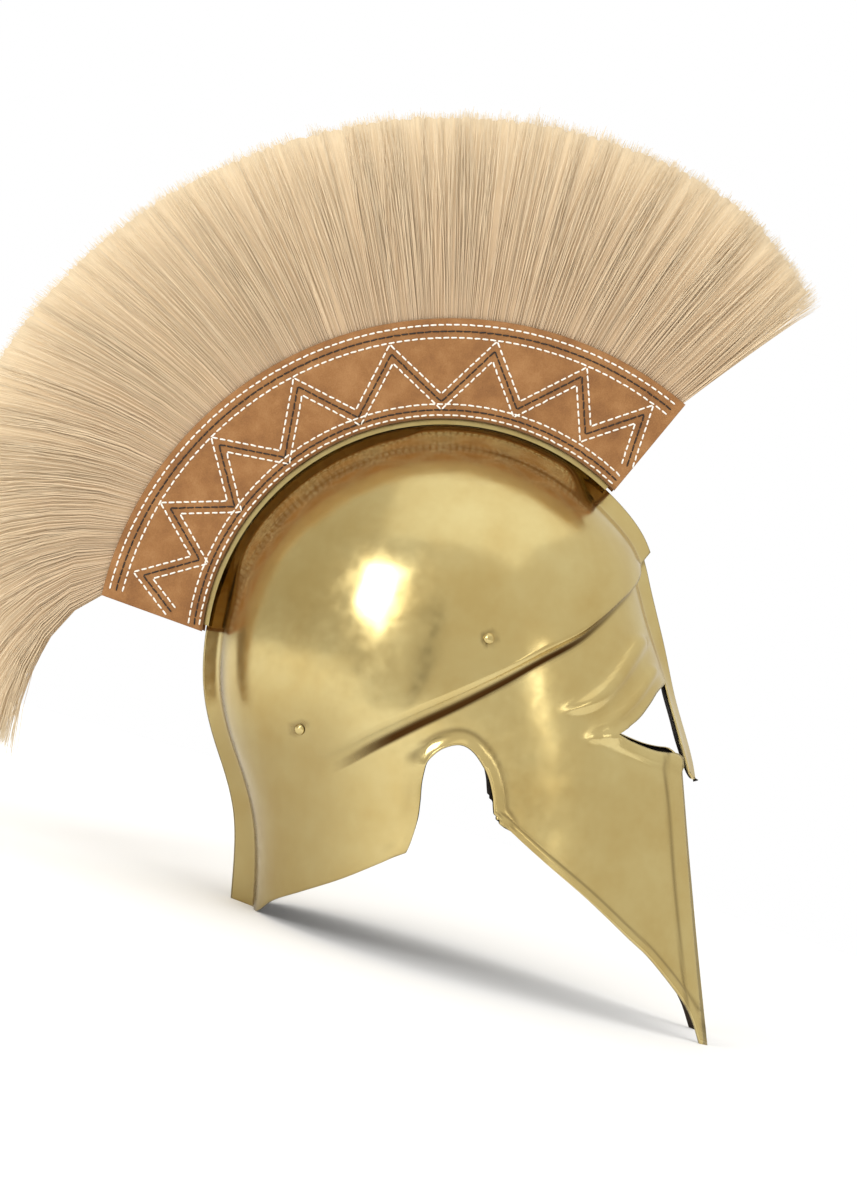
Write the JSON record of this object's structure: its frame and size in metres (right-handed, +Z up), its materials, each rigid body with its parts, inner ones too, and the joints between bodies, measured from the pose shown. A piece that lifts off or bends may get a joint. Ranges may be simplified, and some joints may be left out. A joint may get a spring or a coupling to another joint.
{
  "type": "corinthian helmet with upright horsehair crest",
  "caption": "Polished brass Corinthian helmet with nasal, cheek plates and a blond horsehair plume in a curved suede crest holder with zigzag embroidery.",
  "frame": {"origin": "middle of the bounding box, on the resting plane", "axes": "+Z up, -Y the way the wearer looks, -X the wearer's right; the helmet leans back as it rests on nape and cheek points"},
  "size_m": [0.2022, 0.5212, 0.4911],
  "materials": {
    "brass": "polished",
    "suede": "matte",
    "wood": "matte",
    "horsehair": "satin"
  },
  "bodies": {
    "root": {"helmet_shell": "brass", "rivet_right_front": "brass", "rivet_right_rear": "brass", "rivet_left_front": "brass", "rivet_left_rear": "brass", "crest_rail": "brass", "crest_core": "wood", "crest_end_rear": "suede", "crest_end_front": "suede", "crest_panel_right": "suede", "crest_panel_left": "suede", "plume": "horsehair"}
  },
  "joints": []
}
